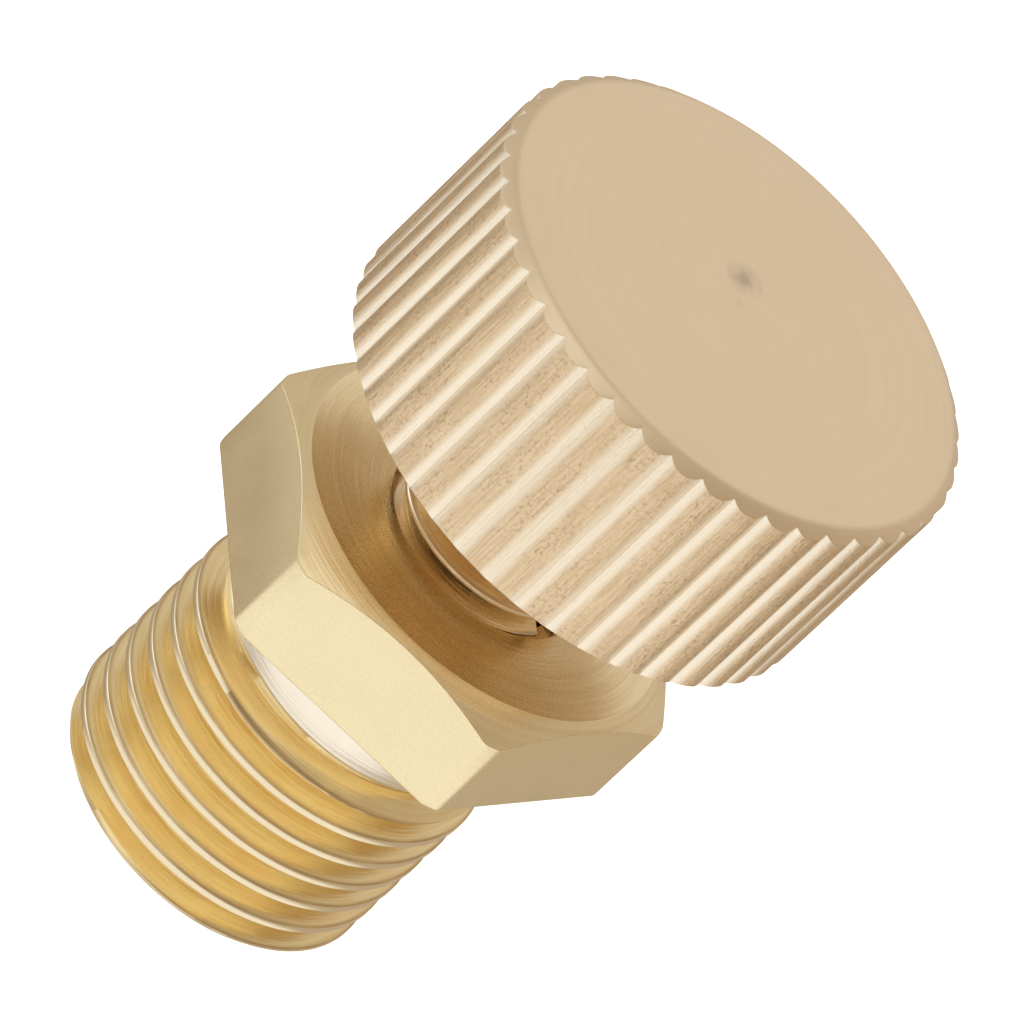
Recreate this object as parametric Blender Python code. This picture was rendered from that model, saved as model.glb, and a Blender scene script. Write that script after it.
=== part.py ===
"""Needle valve with a male pipe thread, a hexagon body and a knurled knob.

Fluid enters the threaded end, passes the needle's seat, and leaves along the slots milled in the
spindle, through the open mouth under the knob. Turning the knob screws the spindle up or down and
lifts or lowers the needle, which doesn't turn.

The valve's axis is +Z, towards the knob, and z = 0 is the end face of the male thread. It stands as
it is about three turns open.
"""

import math

import bmesh
import bpy
from mathutils import Matrix, Vector

MM = 0.001  # every dimension below is in millimetres

# Hexagon body
HEX_ACROSS_FLATS = 16.0
HEX_CORNER_RADIUS = 9.05
HEX_BOTTOM = 11.78
HEX_TOP = 16.34
HEX_FACE_RADIUS = 7.64
HEX_CHAMFER_SLOPE = 0.62
BODY_COLUMNS = 48  # a multiple of six, so that a column meets every corner

# Male pipe thread, G1/4
PIPE_RADIUS = 6.5785
PIPE_ROOT = 5.7225
PIPE_PITCH = 1.337
PIPE_CREST_Z = 0.60
PIPE_FLAT_HALF = 0.12
PIPE_END_RADIUS = 6.10
PIPE_TOP = 8.67
UNDERCUT_RADIUS = 5.70
UNDERCUT_BOTTOM = 9.12

# Bores in the body, from the inlet up
INLET_CHAMFER = 0.3
POCKET_RADIUS = 4.60
POCKET_TOP = 5.60
CHAMBER_RADIUS = 4.30
CHAMBER_TOP = 12.20
MOUTH_RADIUS = 4.10
MOUTH_DEPTH = 0.45

# Spindle thread, M8 x 1, with the running clearance between the two threads
SCREW_PITCH = 1.0
SCREW_CREST_Z = 0.25
SCREW_CREST_HALF = 0.06
SCREW_RADIUS = 3.90
SCREW_ROOT = 3.30
NUT_CREST = 3.42
NUT_ROOT = 4.05
NUT_LEAD_RADIUS = 4.08
THREAD_CLEARANCE = 0.09
FLANK_SLOPE = math.tan(math.radians(30))

# Spindle, at its open position
SPINDLE_BOTTOM = 9.70
SPINDLE_END_RADIUS = 3.25
SPINDLE_CHAMFER = 0.2
STOP_GROOVE = (10.40, 11.15)
STOP_GROOVE_RADIUS = 2.90
SCREW_BOTTOM = 11.60
SCREW_TOP = 19.90
NECK_RADIUS = 3.20
NECK_STEP = 0.1
COLLAR_BOTTOM = 20.50
COLLAR_TOP = 21.12
SHANK_RADIUS = 2.50
SHANK_FLAT = 2.00
SHANK_TOP = 27.60
SHANK_CHAMFER = 0.3
SLOT_RADIUS = 2.60
SLOT_TOP = 20.20
SLOT_ANGLES = (-20, 160)
SLOT_HALF_ANGLE = 10.0
SLOT_WALL_ANGLE = 1.3
SPINDLE_COLUMN_DEGREES = 10
STEM_BORE = 1.55
STEM_BORE_TOP = 15.85

# Needle, and the pieces that hold it in the spindle
NEEDLE_TIP_RADIUS = 0.40
NEEDLE_TIP_HEIGHT = 0.20
NEEDLE_HALF_ANGLE = 20.0
NEEDLE_COLLAR_RADIUS = 1.90
NEEDLE_COLLAR = (9.30, 9.50)
STEM_RADIUS = 1.45
STEM_TOP = 12.90
STEM_CHAMFER = 0.2
STEM_GROOVE_RADIUS = 1.05
CLIP_GROOVE = (10.55, 11.15)
CLIP_GROOVE_RADIUS = 1.95
CLIP_RADIUS = 1.55
CLIP_WIRE_RADIUS = 0.22
CLIP_ARC = 310.0
CLIP_STEPS = 20
CLIP_OPENING = 90.0
BALL_RADIUS = 1.40
BALL_GAP = 0.06
BALL_SEGMENTS = 14
BALL_BANDS = 8

# Retaining ring that stops the spindle unscrewing
STOP_RING_RADII = (3.00, 4.00)
STOP_RING = (10.45, 11.10)
STOP_RING_ARC = 300.0
STOP_RING_STEPS = 24
STOP_RING_OPENING = -30.0

# Seat ring, its O-ring, and the washer and hollow screw under them
SEAT_RADIUS = 4.50
SEAT = (3.50, 5.50)
ORIFICE_RADIUS = 1.50
ORIFICE_CHAMFER = 0.40
O_RING_GROOVE = (4.05, 4.95)
O_RING_GROOVE_RADIUS = 3.68
O_RING_RADIUS = 4.13
O_RING_CORD_RADIUS = 0.38
WASHER = (3.10, 3.40)
WASHER_BORE = 2.20
RETAINER = (0.90, 3.00)
RETAINER_KEY = 6.0
RETAINER_CHAMFER = 0.25
RETAINER_SIDES = 48

# Knob
KNOB_RADIUS = 9.99
KNOB_BOTTOM = 21.42
KNOB_TOP = 30.55
KNOB_FACE_RADIUS = 9.47
KNOB_CHAMFER_SLOPE = 0.75
KNURL_TEETH = 45
KNURL_PHASE = 5.35
KNURL_DEPTH = 0.24
# A tooth from one sharp valley to the next: (share of the tooth, share of the depth)
KNURL_SECTION = ((0, 1), (0.28, 0.1), (0.5, 0), (0.72, 0.1))
KNOB_BORE_RADIUS = 2.62
KNOB_BORE_TOP = 27.90
KNOB_DRILL_POINT = 1.2

# Set screw in the knob, on the +Y side
SET_SCREW_Z = 25.0
SET_SCREW_RADIUS = 1.86
SET_SCREW_HOLE = 2.00
SET_SCREW_HOLE_START = 1.00
SET_SCREW = (2.12, 9.20)
SET_SCREW_KEY = 2.0
SET_SCREW_KEY_DEPTH = 1.8
SET_SCREW_DRILL_POINT = 0.4
SET_SCREW_POINT_CHAMFER = 0.5
SET_SCREW_CHAMFER = 0.2

# Nylon strip in one of the slots
STRIP_ANGLE = 160
STRIP_WIDTH = 0.70
STRIP_RADII = (2.66, 3.30)
STRIP = (12.60, 15.60)

TURNED_SIDES = 24  # sides of the small turned pieces
CORD_SIDES = 8  # sides of a wire or an O-ring's section
CUT_BEYOND = 1.0  # how far a cutter passes beyond the face it cuts
AXIS_MARK = 5.0  # drawn size of an axis empty
SNAP = 0.03  # a thread point this near a level edge joins it
SPARE_TURNS = 2  # turns begun beyond each end of a thread, whose points join the end


def material(name, colour, roughness, metallic):
    """A Principled material with one colour, roughness and metallic value."""
    made = bpy.data.materials.new(name)
    made.use_nodes = True
    shader = made.node_tree.nodes["Principled BSDF"]
    shader.inputs["Base Color"].default_value = (*colour, 1.0)
    shader.inputs["Roughness"].default_value = roughness
    shader.inputs["Metallic"].default_value = metallic
    made.diffuse_color = (*colour, 1.0)
    return made


def add_object(name, mesh_data, made_of, sharp_degrees=35):
    """Closes a bmesh into an object with outward faces, smooth except at its sharp edges."""
    bmesh.ops.recalc_face_normals(mesh_data, faces=mesh_data.faces)
    mesh = bpy.data.meshes.new(name)
    mesh_data.to_mesh(mesh)
    mesh_data.free()
    mesh.shade_smooth()
    mesh.set_sharp_from_angle(angle=math.radians(sharp_degrees))
    if made_of:
        mesh.materials.append(made_of)
    made = bpy.data.objects.new(name, mesh)
    bpy.context.collection.objects.link(made)
    return made


def vertex(shape, radius, angle, z):
    return shape.verts.new((radius * math.cos(angle) * MM, radius * math.sin(angle) * MM, z * MM))


def even_angles(count):
    return [2 * math.pi * step / count for step in range(count)]


def level_ring(shape, angles, radius, z):
    """A closed ring of vertices; radius and z are numbers or functions of the angle."""
    radius_at = radius if callable(radius) else lambda angle: radius
    z_at = z if callable(z) else lambda angle: z
    return [vertex(shape, radius_at(angle), angle, z_at(angle)) for angle in angles]


def join_rings(shape, low, high):
    """A band of quads between two rings, or a fan where one of them is a single point."""
    count = max(len(low), len(high))
    for column in range(count):
        after = (column + 1) % count
        corners = [low[column % len(low)], low[after % len(low)]]
        corners += [high[after % len(high)], high[column % len(high)]]
        shape.faces.new(dict.fromkeys(corners))


def join_all(shape, rings, closed=False):
    for low, high in zip(rings, rings[1:]):
        join_rings(shape, low, high)
    if closed:
        join_rings(shape, rings[-1], rings[0])


def turned(profile, count, closed=False):
    """A turned shape. A profile is (radius, z) points; a closed one is the section of a ring."""
    shape = bmesh.new()
    angles = even_angles(count)
    rings = [
        level_ring(shape, angles, radius, z) if radius > 0 else [vertex(shape, 0, 0, z)]
        for radius, z in profile
    ]
    join_all(shape, rings, closed)
    return shape


def thread_skin(shape, angles, low, high, pitch, crest_z, keys, radius_limit):
    """The skin of a right-hand thread between two level rings that are already there.

    keys are (z, radius) over one pitch, counted from a crest's middle. Every row of vertices climbs
    one pitch in a turn, and the points that would pass a level ring are that ring's own.
    """
    z_low, z_high = low[0].co.z / MM, high[0].co.z / MM
    first = math.floor((z_low - crest_z) / pitch) - SPARE_TURNS
    last = math.ceil((z_high - crest_z) / pitch) + SPARE_TURNS
    rows = [(crest_z + turn * pitch + z, radius) for turn in range(first, last) for z, radius in keys]
    columns = []
    for column, angle in enumerate(angles):
        climb = pitch * angle / (2 * math.pi)
        points = []
        for z, radius in rows:
            if z + climb < z_low + SNAP:
                points.append(low[column])
            elif z + climb > z_high - SNAP:
                points.append(high[column])
            else:
                points.append(vertex(shape, radius_limit(radius, z + climb, angle), angle, z + climb))
        columns.append(points)
    for column, points in enumerate(columns):
        after = (column + 1) % len(columns)
        shift = len(keys) if after == 0 else 0  # a full turn arrives one pitch higher
        beside = columns[after]
        for row in range(len(rows) - 1 - shift):
            corners = [points[row], beside[row + shift], beside[row + 1 + shift], points[row + 1]]
            corners = list(dict.fromkeys(corners))
            if len(corners) > 2:
                shape.faces.new(corners)


def thread_keys(pitch, crest_radius, root_radius, crest_half, root_half):
    """One pitch of a thread's outline: the crest's two edges, then the root's."""
    return (
        (-crest_half, crest_radius),
        (crest_half, crest_radius),
        (pitch / 2 - root_half, root_radius),
        (pitch / 2 + root_half, root_radius),
    )


def hexagon_radius(angle, across_flats, corner_radius=math.inf):
    """Distance from the centre to the side of a hexagon with corners at 0, 60, ... degrees."""
    from_flat = (angle % math.radians(60)) - math.radians(30)
    return min(across_flats / 2 / math.cos(from_flat), corner_radius)


def body_angles():
    """Evenly spaced columns, with two in place of one at each corner of the hexagon."""
    corner_half = math.radians(30) - math.acos(HEX_ACROSS_FLATS / 2 / HEX_CORNER_RADIUS)
    angles = []
    for column, angle in enumerate(even_angles(BODY_COLUMNS)):
        at_corner = column % (BODY_COLUMNS // 6) == 0
        angles += [angle - corner_half, angle + corner_half] if at_corner else [angle]
    return sorted(angle % (2 * math.pi) for angle in angles)


def make_valve_body(brass):
    """The hexagon with its male thread outside, and the seat pocket, chamber and nut thread inside."""
    shape = bmesh.new()
    angles = body_angles()

    def ring(radius, z):
        return level_ring(shape, angles, radius, z)

    def hexagon(angle):
        return hexagon_radius(angle, HEX_ACROSS_FLATS, HEX_CORNER_RADIUS)

    def chamfer_z(angle):
        return HEX_TOP - (hexagon(angle) - HEX_FACE_RADIUS) * HEX_CHAMFER_SLOPE

    end = ring(PIPE_END_RADIUS, 0)
    thread_top = ring((PIPE_RADIUS + PIPE_ROOT) / 2, PIPE_TOP)
    pipe_keys = thread_keys(PIPE_PITCH, PIPE_RADIUS, PIPE_ROOT, PIPE_FLAT_HALF, PIPE_FLAT_HALF)
    thread_skin(
        shape, angles, end, thread_top, PIPE_PITCH, PIPE_CREST_Z, pipe_keys,
        lambda radius, z, angle: min(radius, PIPE_END_RADIUS + z, UNDERCUT_RADIUS + UNDERCUT_BOTTOM - z),
    )
    outside = [
        thread_top,
        ring(UNDERCUT_RADIUS, UNDERCUT_BOTTOM),
        ring(UNDERCUT_RADIUS, HEX_BOTTOM),
        ring(hexagon, HEX_BOTTOM),
        ring(hexagon, chamfer_z),
        ring(HEX_FACE_RADIUS, HEX_TOP),
        ring(MOUTH_RADIUS, HEX_TOP),
    ]
    nut_top = ring(NUT_LEAD_RADIUS, HEX_TOP - MOUTH_DEPTH)
    join_all(shape, [*outside, nut_top])

    inside = [
        ring(NUT_LEAD_RADIUS, CHAMBER_TOP),
        ring(CHAMBER_RADIUS, CHAMBER_TOP),
        ring(CHAMBER_RADIUS, POCKET_TOP),
        ring(POCKET_RADIUS, POCKET_TOP),
        ring(POCKET_RADIUS, INLET_CHAMFER),
        ring(POCKET_RADIUS + INLET_CHAMFER, 0),
    ]
    join_all(shape, [*inside, end])
    crest_half = THREAD_CLEARANCE + screw_half_width(NUT_CREST)
    root_half = THREAD_CLEARANCE + screw_half_width(NUT_ROOT)
    nut_keys = (
        (-root_half, NUT_ROOT),
        (root_half, NUT_ROOT),
        (crest_half, NUT_CREST),
        (SCREW_PITCH - crest_half, NUT_CREST),
    )
    thread_skin(
        shape, angles, inside[0], nut_top, SCREW_PITCH, SCREW_CREST_Z, nut_keys,
        lambda radius, z, angle: radius,
    )
    return add_object("valve_body", shape, brass)


def screw_half_width(radius):
    """Half the thickness of the spindle's thread at a radius."""
    return SCREW_CREST_HALF + (SCREW_RADIUS - radius) * FLANK_SLOPE


def make_spindle(brass):
    """The screwed spindle: needle bore below, two milled slots, and a D-shaped shank on top."""
    shape = bmesh.new()
    walls = [
        slot + side * (SLOT_HALF_ANGLE + SLOT_WALL_ANGLE) for slot in SLOT_ANGLES for side in (-1, 1)
    ]
    even = range(0, 360, SPINDLE_COLUMN_DEGREES)
    angles = sorted(math.radians(angle % 360) for angle in [*even, *walls])

    def in_slot(angle):
        turns = [(math.degrees(angle) - slot + 180) % 360 - 180 for slot in SLOT_ANGLES]
        return min(abs(turn) for turn in turns) < SLOT_HALF_ANGLE + SLOT_WALL_ANGLE / 2

    def slotted(radius, z, angle):
        return min(radius, SLOT_RADIUS) if in_slot(angle) else radius

    def ring(radius, z):
        return level_ring(shape, angles, lambda angle: slotted(radius, z, angle), z)

    def whole_ring(radius, z):
        return level_ring(shape, angles, radius, z)

    def shank(angle):
        across = math.cos(angle - math.radians(90))
        return min(SHANK_RADIUS, SHANK_FLAT / across) if across > 0 else SHANK_RADIUS

    groove_low, groove_high = STOP_GROOVE
    below = [
        ring(SPINDLE_END_RADIUS - SPINDLE_CHAMFER, SPINDLE_BOTTOM),
        ring(SPINDLE_END_RADIUS, SPINDLE_BOTTOM + SPINDLE_CHAMFER),
        ring(SPINDLE_END_RADIUS, groove_low),
        ring(STOP_GROOVE_RADIUS, groove_low),
        ring(STOP_GROOVE_RADIUS, groove_high),
        ring(SPINDLE_END_RADIUS, groove_high),
        ring(SPINDLE_END_RADIUS, SCREW_BOTTOM),
    ]
    above = [
        ring(SCREW_ROOT, SCREW_TOP),
        ring(NECK_RADIUS, SCREW_TOP + NECK_STEP),
        ring(NECK_RADIUS, SLOT_TOP),
        whole_ring(NECK_RADIUS, SLOT_TOP + NECK_STEP),
        whole_ring(NECK_RADIUS, COLLAR_BOTTOM),
        whole_ring(SCREW_RADIUS - SPINDLE_CHAMFER, COLLAR_BOTTOM),
        whole_ring(SCREW_RADIUS, COLLAR_BOTTOM + SPINDLE_CHAMFER),
        whole_ring(SCREW_RADIUS, COLLAR_TOP),
        whole_ring(shank, COLLAR_TOP),
        whole_ring(shank, SHANK_TOP - SHANK_CHAMFER),
        whole_ring(lambda angle: shank(angle) - SHANK_CHAMFER, SHANK_TOP),
        [vertex(shape, 0, 0, SHANK_TOP)],
    ]
    root_half = SCREW_PITCH / 2 - screw_half_width(SCREW_ROOT)
    keys = thread_keys(SCREW_PITCH, SCREW_RADIUS, SCREW_ROOT, screw_half_width(SCREW_RADIUS), root_half)
    thread_skin(shape, angles, below[-1], above[0], SCREW_PITCH, SCREW_CREST_Z, keys, slotted)
    clip_low, clip_high = CLIP_GROOVE
    bore = [
        [vertex(shape, 0, 0, STEM_BORE_TOP)],
        whole_ring(STEM_BORE, STEM_BORE_TOP),
        whole_ring(STEM_BORE, clip_high),
        whole_ring(CLIP_GROOVE_RADIUS, clip_high),
        whole_ring(CLIP_GROOVE_RADIUS, clip_low),
        whole_ring(STEM_BORE, clip_low),
        whole_ring(STEM_BORE, SPINDLE_BOTTOM),
    ]
    join_all(shape, [*bore, *below])
    join_all(shape, above)
    return add_object("spindle", shape, brass)


def make_needle(steel):
    """A rounded cone under a collar, with a grooved stem that turns freely in the spindle's bore."""
    collar_low, collar_high = NEEDLE_COLLAR
    cone = (NEEDLE_COLLAR_RADIUS - NEEDLE_TIP_RADIUS) / math.tan(math.radians(NEEDLE_HALF_ANGLE))
    groove_low, groove_high = CLIP_GROOVE
    cone_low = collar_low - cone
    half_way = math.radians(45)
    profile = [
        (0, cone_low - NEEDLE_TIP_HEIGHT),
        (NEEDLE_TIP_RADIUS * math.sin(half_way), cone_low - NEEDLE_TIP_HEIGHT * math.cos(half_way)),
        (NEEDLE_TIP_RADIUS, cone_low),
        (NEEDLE_COLLAR_RADIUS, collar_low),
        (NEEDLE_COLLAR_RADIUS, collar_high),
        (STEM_RADIUS, collar_high),
        (STEM_RADIUS, groove_low),
        (STEM_GROOVE_RADIUS, groove_low),
        (STEM_GROOVE_RADIUS, groove_high),
        (STEM_RADIUS, groove_high),
        (STEM_RADIUS, STEM_TOP - STEM_CHAMFER),
        (STEM_RADIUS - STEM_CHAMFER, STEM_TOP),
        (0, STEM_TOP),
    ]
    return add_object("needle", turned(profile, TURNED_SIDES), steel)


def make_thrust_ball(steel):
    shape = bmesh.new()
    bmesh.ops.create_uvsphere(
        shape, u_segments=BALL_SEGMENTS, v_segments=BALL_BANDS, radius=BALL_RADIUS * MM
    )
    centre = STEM_TOP + BALL_GAP + BALL_RADIUS
    bmesh.ops.translate(shape, verts=shape.verts, vec=(0, 0, centre * MM))
    return add_object("thrust_ball", shape, steel)


def swept_ring(section, centre_z, arc_degrees, steps, opening_degrees):
    """A split ring: a closed (radius, z) section swept round the axis, with its gap at one angle."""
    shape = bmesh.new()
    start = math.radians(opening_degrees + (360 - arc_degrees) / 2)
    loops = []
    for step in range(steps + 1):
        angle = start + math.radians(arc_degrees) * step / steps
        loops.append([vertex(shape, radius, angle, centre_z + z) for radius, z in section])
    join_all(shape, loops)
    for loop in (loops[0], loops[-1]):
        shape.faces.new(loop)
    return shape


def make_needle_clip(steel):
    section = [
        (CLIP_RADIUS + CLIP_WIRE_RADIUS * math.cos(angle), CLIP_WIRE_RADIUS * math.sin(angle))
        for angle in even_angles(CORD_SIDES)
    ]
    clip = swept_ring(section, sum(CLIP_GROOVE) / 2, CLIP_ARC, CLIP_STEPS, CLIP_OPENING)
    return add_object("needle_clip", clip, steel)


def make_stop_ring(steel):
    inner, outer = STOP_RING_RADII
    half = (STOP_RING[1] - STOP_RING[0]) / 2
    section = [(inner, -half), (outer, -half), (outer, half), (inner, half)]
    centre_z = sum(STOP_RING) / 2
    ring = swept_ring(section, centre_z, STOP_RING_ARC, STOP_RING_STEPS, STOP_RING_OPENING)
    return add_object("stop_ring", ring, steel)


def make_seat_ring(plastic):
    """The orifice, chamfered to the needle, in a ring with an O-ring groove round it."""
    bottom, top = SEAT
    groove_low, groove_high = O_RING_GROOVE
    profile = [
        (ORIFICE_RADIUS, top - ORIFICE_CHAMFER),
        (ORIFICE_RADIUS, bottom + ORIFICE_CHAMFER),
        (ORIFICE_RADIUS + ORIFICE_CHAMFER, bottom),
        (SEAT_RADIUS, bottom),
        (SEAT_RADIUS, groove_low),
        (O_RING_GROOVE_RADIUS, groove_low),
        (O_RING_GROOVE_RADIUS, groove_high),
        (SEAT_RADIUS, groove_high),
        (SEAT_RADIUS, top),
        (ORIFICE_RADIUS + ORIFICE_CHAMFER, top),
    ]
    return add_object("seat_ring", turned(profile, TURNED_SIDES, closed=True), plastic)


def make_seat_o_ring(rubber):
    section = [
        (
            O_RING_RADIUS + O_RING_CORD_RADIUS * math.cos(angle),
            sum(O_RING_GROOVE) / 2 + O_RING_CORD_RADIUS * math.sin(angle),
        )
        for angle in even_angles(CORD_SIDES)
    ]
    return add_object("seat_o_ring", turned(section, TURNED_SIDES, closed=True), rubber)


def make_seat_washer(steel):
    """A thin washer that lets the retainer be tightened without dragging the soft ring round."""
    bottom, top = WASHER
    profile = [(WASHER_BORE, top), (WASHER_BORE, bottom), (SEAT_RADIUS, bottom), (SEAT_RADIUS, top)]
    return add_object("seat_washer", turned(profile, TURNED_SIDES, closed=True), steel)


def make_seat_retainer(brass):
    """A hollow screw with a hexagon hole right through, for the key and for the flow."""
    shape = bmesh.new()
    angles = even_angles(RETAINER_SIDES)
    bottom, top = RETAINER

    def key(angle):
        return hexagon_radius(angle, RETAINER_KEY)

    rings = [
        level_ring(shape, angles, key, top),
        level_ring(shape, angles, key, bottom),
        level_ring(shape, angles, SEAT_RADIUS - RETAINER_CHAMFER, bottom),
        level_ring(shape, angles, SEAT_RADIUS, bottom + RETAINER_CHAMFER),
        level_ring(shape, angles, SEAT_RADIUS, top),
    ]
    join_all(shape, rings, closed=True)
    return add_object("seat_retainer", shape, brass)


def make_lock_strip(nylon):
    inner, outer = STRIP_RADII
    bottom, top = STRIP
    shape = bmesh.new()
    bmesh.ops.create_cube(shape, size=MM)
    size = Vector((STRIP_WIDTH, outer - inner, top - bottom))
    bmesh.ops.scale(shape, verts=shape.verts, vec=size)
    centre = Vector((0, (inner + outer) / 2, (bottom + top) / 2)) * MM
    bmesh.ops.translate(shape, verts=shape.verts, vec=centre)
    turn = Matrix.Rotation(math.radians(STRIP_ANGLE - 90), 3, "Z")
    bmesh.ops.rotate(shape, verts=shape.verts, matrix=turn)
    return add_object("lock_strip", shape, nylon)


def knurl_outline():
    """(angle, radius) round the knob: sharp valleys between broad, rounded crests."""
    tooth = 360 / KNURL_TEETH
    return [
        (math.radians(KNURL_PHASE + (index + along) * tooth), KNOB_RADIUS - KNURL_DEPTH * depth)
        for index in range(KNURL_TEETH)
        for along, depth in KNURL_SECTION
    ]


def cutter(name, shape):
    """A tool shape for a Boolean, kept out of the finished object."""
    made = add_object(name, shape, None)
    made.hide_render = True
    made.display_type = "WIRE"
    return made


def cut(target, tool):
    modifier = target.modifiers.new(tool.name, "BOOLEAN")
    modifier.operation = "DIFFERENCE"
    modifier.object = tool
    modifier.solver = "EXACT"


def along_y(shape):
    """Lays a shape turned about Z on its side, pointing along +Y at the set screw's height."""
    bmesh.ops.rotate(
        shape, verts=shape.verts, cent=(0, 0, 0), matrix=Matrix.Rotation(math.radians(-90), 3, "X")
    )
    bmesh.ops.translate(shape, verts=shape.verts, vec=(0, 0, SET_SCREW_Z * MM))
    return shape


def make_knob(brass):
    """A solid knob with a straight knurl, a blind bore for the shank and a set screw's hole."""
    shape = bmesh.new()
    outline = knurl_outline()

    def face_edge(z):
        return [vertex(shape, KNOB_FACE_RADIUS, angle, z) for angle, radius in outline]

    def chamfer_edge(z, way):
        """Where the knurl meets a chamfer that starts at an end face: way is 1 above it, -1 below."""
        slope = way * KNOB_CHAMFER_SLOPE
        return [
            vertex(shape, radius, angle, z + slope * (radius - KNOB_FACE_RADIUS))
            for angle, radius in outline
        ]

    rings = [
        face_edge(KNOB_BOTTOM),
        chamfer_edge(KNOB_BOTTOM, 1),
        chamfer_edge(KNOB_TOP, -1),
        face_edge(KNOB_TOP),
    ]
    join_all(shape, rings)
    shape.faces.new(rings[0])
    shape.faces.new(rings[-1])
    knob = add_object("knob", shape, brass)
    bore_profile = [
        (0, KNOB_BOTTOM - CUT_BEYOND),
        (KNOB_BORE_RADIUS, KNOB_BOTTOM - CUT_BEYOND),
        (KNOB_BORE_RADIUS, KNOB_BORE_TOP),
        (0, KNOB_BORE_TOP + KNOB_DRILL_POINT),
    ]
    cut(knob, cutter("knob_bore_cutter", turned(bore_profile, TURNED_SIDES)))
    hole_end = KNOB_RADIUS + CUT_BEYOND
    hole_profile = [
        (0, SET_SCREW_HOLE_START),
        (SET_SCREW_HOLE, SET_SCREW_HOLE_START),
        (SET_SCREW_HOLE, hole_end),
        (0, hole_end),
    ]
    cut(knob, cutter("set_screw_hole_cutter", along_y(turned(hole_profile, TURNED_SIDES))))
    return knob


def make_set_screw(steel):
    """A socket set screw with a hexagon recess outside and a flat point on the shank."""
    shape = bmesh.new()
    angles = even_angles(TURNED_SIDES)
    point, end = SET_SCREW
    recess = end - SET_SCREW_KEY_DEPTH

    def key(angle):
        return hexagon_radius(angle, SET_SCREW_KEY)

    rings = [
        [vertex(shape, 0, 0, point)],
        level_ring(shape, angles, SET_SCREW_RADIUS - SET_SCREW_POINT_CHAMFER, point),
        level_ring(shape, angles, SET_SCREW_RADIUS, point + SET_SCREW_POINT_CHAMFER),
        level_ring(shape, angles, SET_SCREW_RADIUS, end - SET_SCREW_CHAMFER),
        level_ring(shape, angles, SET_SCREW_RADIUS - SET_SCREW_CHAMFER, end),
        level_ring(shape, angles, key, end),
        level_ring(shape, angles, key, recess),
        [vertex(shape, 0, 0, recess - SET_SCREW_DRILL_POINT)],
    ]
    join_all(shape, rings)
    return add_object("knob_set_screw", along_y(shape), steel)


def add_empty(name, parent=None):
    """An empty on the valve's axis, which the pieces that move together are parented to."""
    made = bpy.data.objects.new(name, None)
    made.empty_display_type = "ARROWS"
    made.empty_display_size = AXIS_MARK * MM
    made.parent = parent
    bpy.context.collection.objects.link(made)
    return made


def build():
    for old in list(bpy.data.objects):
        bpy.data.objects.remove(old)
    body_brass = material("body_brass", (0.72, 0.52, 0.25), 0.32, 1.0)
    knob_brass = material("knob_brass", (0.74, 0.58, 0.38), 0.38, 1.0)
    spindle_brass = material("spindle_brass", (0.68, 0.48, 0.26), 0.30, 1.0)
    steel = material("stainless_steel", (0.62, 0.62, 0.60), 0.25, 1.0)
    dark_steel = material("black_steel", (0.06, 0.06, 0.065), 0.45, 0.9)
    ptfe = material("ptfe", (0.90, 0.90, 0.88), 0.45, 0.0)
    nylon = material("nylon", (0.35, 0.55, 0.75), 0.50, 0.0)
    rubber = material("nitrile_rubber", (0.03, 0.03, 0.03), 0.65, 0.0)

    make_valve_body(body_brass)
    make_seat_ring(ptfe)
    make_seat_o_ring(rubber)
    make_seat_washer(steel)
    make_seat_retainer(body_brass)

    lift = add_empty("needle_lift_axis")
    make_needle(steel).parent = lift

    turn = add_empty("knob_turn_axis", lift)
    turning = [
        make_spindle(spindle_brass),
        make_lock_strip(nylon),
        make_stop_ring(steel),
        make_needle_clip(steel),
        make_thrust_ball(steel),
        make_knob(knob_brass),
        make_set_screw(dark_steel),
    ]
    for piece in turning:
        piece.parent = turn


build()
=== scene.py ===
"""The needle valve's visible surfaces and finishes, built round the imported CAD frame.

Lengths are in millimetres and the valve's axis is +Z, as in the CAD. The body, spindle, knob, set screw
and the two pieces that show at the inlet are modelled again here, with finer threads, a finer knurl and
rounded edges. The other pieces keep the CAD's meshes and only get a finish.
"""

import math

import bmesh
import bpy
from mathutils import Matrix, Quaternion, Vector


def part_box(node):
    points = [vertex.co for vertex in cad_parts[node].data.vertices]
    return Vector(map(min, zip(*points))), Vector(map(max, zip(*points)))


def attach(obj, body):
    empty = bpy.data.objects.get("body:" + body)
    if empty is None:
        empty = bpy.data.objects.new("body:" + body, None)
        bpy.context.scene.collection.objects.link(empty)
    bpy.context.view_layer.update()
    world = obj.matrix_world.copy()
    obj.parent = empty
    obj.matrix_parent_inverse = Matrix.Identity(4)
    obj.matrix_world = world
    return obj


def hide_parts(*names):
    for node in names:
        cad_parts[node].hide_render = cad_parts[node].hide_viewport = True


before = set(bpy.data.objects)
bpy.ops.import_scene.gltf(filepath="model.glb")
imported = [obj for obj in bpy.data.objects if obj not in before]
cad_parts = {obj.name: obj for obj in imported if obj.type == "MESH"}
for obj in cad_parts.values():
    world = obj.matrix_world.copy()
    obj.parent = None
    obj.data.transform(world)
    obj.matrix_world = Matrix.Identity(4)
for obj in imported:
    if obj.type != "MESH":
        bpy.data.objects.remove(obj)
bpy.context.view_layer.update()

MM = 0.001


def box_mm(node):
    low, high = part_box(node)
    return low / MM, high / MM


BODY_LOW, BODY_HIGH = box_mm("valve_body")
SPINDLE_LOW, SPINDLE_HIGH = box_mm("spindle")
KNOB_LOW, KNOB_HIGH = box_mm("knob")
RETAINER_LOW, RETAINER_HIGH = box_mm("seat_retainer")
SEAT_LOW, SEAT_HIGH = box_mm("seat_ring")
SET_SCREW_LOW, SET_SCREW_HIGH = box_mm("knob_set_screw")

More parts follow.
